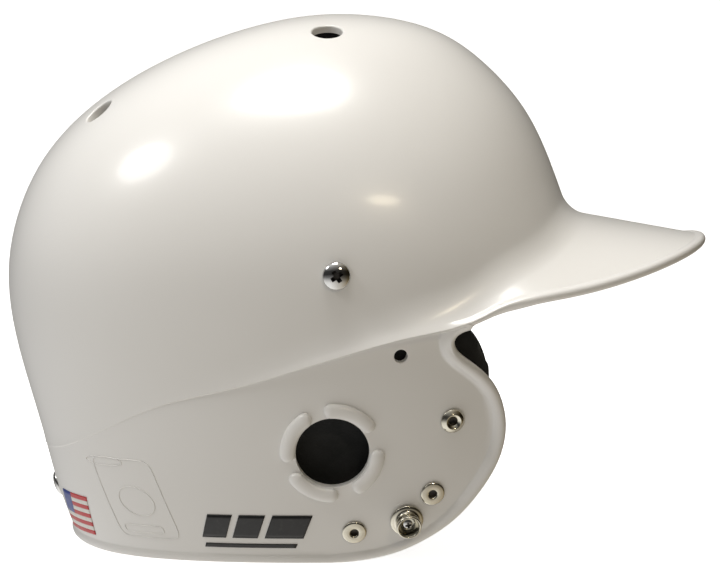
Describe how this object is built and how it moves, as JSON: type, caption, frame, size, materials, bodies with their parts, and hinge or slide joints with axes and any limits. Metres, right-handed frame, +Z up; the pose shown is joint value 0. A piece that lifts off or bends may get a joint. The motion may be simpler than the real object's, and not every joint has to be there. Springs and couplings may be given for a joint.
{
  "type": "batting helmet",
  "caption": "Hard batting helmet with a front bill, an ear flap with an ear hole on each side, foam pads inside and screwed fittings.",
  "frame": {"origin": "on the resting plane of the rim, under the middle of the helmet's length and width", "axes": "+X towards the bill, +Y towards the wearer's left ear, +Z up towards the crown"},
  "size_m": [0.297, 0.2018, 0.2213],
  "materials": {
    "shell": "moulded gloss white with a faint pearl",
    "pad_foam": "black fabric-faced foam, matt",
    "chrome": "chromed steel screw heads",
    "nickel": "bright nickel plate",
    "striped_decal": "printed vinyl film, striped",
    "black_decal": "printed black film"
  },
  "bodies": {
    "helmet": {"shell": "shell", "crown_pad": "pad_foam", "brow_pad": "pad_foam", "rear_pad": "pad_foam", "temple_pad_right": "pad_foam", "temple_pad_left": "pad_foam", "ear_pad_right": "pad_foam", "ear_pad_left": "pad_foam", "side_nut_right": "nickel", "side_nut_left": "nickel", "rear_nut": "nickel", "snap_nut_right": "nickel", "snap_nut_left": "nickel", "snap_stud_right": "nickel", "snap_stud_left": "nickel", "faceguard_insert_upper_right": "nickel", "faceguard_insert_upper_left": "nickel", "faceguard_insert_middle_right": "nickel", "faceguard_insert_middle_left": "nickel", "faceguard_insert_lower_right": "nickel", "faceguard_insert_lower_left": "nickel", "rear_decal": "striped_decal", "side_decal_right": "black_decal", "side_decal_left": "black_decal"},
    "side_screw_right": {"side_screw_right": "chrome"},
    "side_screw_left": {"side_screw_left": "chrome"},
    "rear_screw": {"rear_screw": "chrome"},
    "snap_screw_right": {"snap_screw_right": "chrome"},
    "snap_screw_left": {"snap_screw_left": "chrome"}
  },
  "joints": [
    {"name": "side_screw_right_turn", "type": "hinge", "parent": "helmet", "child": "side_screw_right", "pos_m": [-0.0072, -0.09749, 0.1182], "axis": [0.0696, -0.9971, -0.0304], "continuous": true},
    {"name": "side_screw_left_turn", "type": "hinge", "parent": "helmet", "child": "side_screw_left", "pos_m": [-0.0072, 0.09749, 0.1182], "axis": [0.0696, 0.9971, -0.0304], "continuous": true},
    {"name": "rear_screw_turn", "type": "hinge", "parent": "helmet", "child": "rear_screw", "pos_m": [-0.12725, 0, 0.02], "axis": [-0.9505, 0, -0.3106], "continuous": true},
    {"name": "snap_screw_right_turn", "type": "hinge", "parent": "helmet", "child": "snap_screw_right", "pos_m": [0.0205, -0.07412, 0.0182], "axis": [0.1512, -0.939, -0.3088], "continuous": true},
    {"name": "snap_screw_left_turn", "type": "hinge", "parent": "helmet", "child": "snap_screw_left", "pos_m": [0.0205, 0.07412, 0.0182], "axis": [0.1512, 0.939, -0.3088], "continuous": true}
  ]
}
